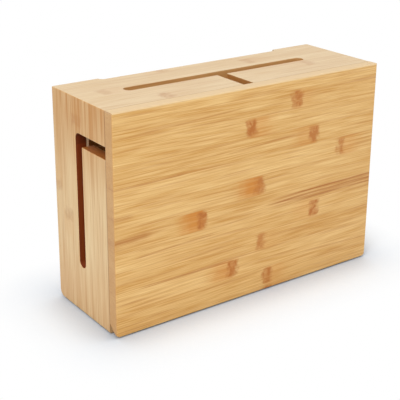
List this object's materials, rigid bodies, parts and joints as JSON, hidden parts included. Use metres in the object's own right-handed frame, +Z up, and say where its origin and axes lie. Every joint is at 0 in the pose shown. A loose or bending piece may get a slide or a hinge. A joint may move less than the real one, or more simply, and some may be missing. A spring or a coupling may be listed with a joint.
{
  "type": "cable management box",
  "caption": "Slim upright bamboo box that hides a power strip, with cable slots in its top and sides and a magnetic pull-off front cover.",
  "frame": {"origin": "middle of the footprint, at the level of the four feet's undersides", "axes": "+Z up; +Y from the front cover to the rear; +X to the right, seen from the front, along the longest side"},
  "size_m": [0.32, 0.11, 0.22],
  "materials": {
    "bamboo_front": "matte lacquered laminated bamboo, grain along the width",
    "bamboo_case": "matte lacquered laminated bamboo",
    "bamboo_back": "matte lacquered thin bamboo board",
    "joinery_wood": "plain beech",
    "magnet_plating": "nickel-plated",
    "strike_steel": "zinc-plated",
    "foot_rubber": "translucent soft polyurethane, matte"
  },
  "bodies": {
    "case": {"top_panel": "bamboo_case", "left_side_panel": "bamboo_case", "right_side_panel": "bamboo_case", "bottom_panel": "bamboo_case", "back_panel": "bamboo_back", "left_mitre_spline": "joinery_wood", "left_base_dowels": "joinery_wood", "lower_left_magnet": "magnet_plating", "upper_left_magnet": "magnet_plating", "front_left_foot": "foot_rubber", "rear_left_foot": "foot_rubber", "right_mitre_spline": "joinery_wood", "right_base_dowels": "joinery_wood", "lower_right_magnet": "magnet_plating", "upper_right_magnet": "magnet_plating", "front_right_foot": "foot_rubber", "rear_right_foot": "foot_rubber"},
    "cover": {"front_cover": "bamboo_front", "lower_left_strike": "strike_steel", "lower_right_strike": "strike_steel", "upper_left_strike": "strike_steel", "upper_right_strike": "strike_steel"}
  },
  "joints": [
    {"name": "cover_pull", "type": "slide", "parent": "case", "child": "cover", "axis": [0, -1, 0], "range_m": [0, 0.08]}
  ]
}
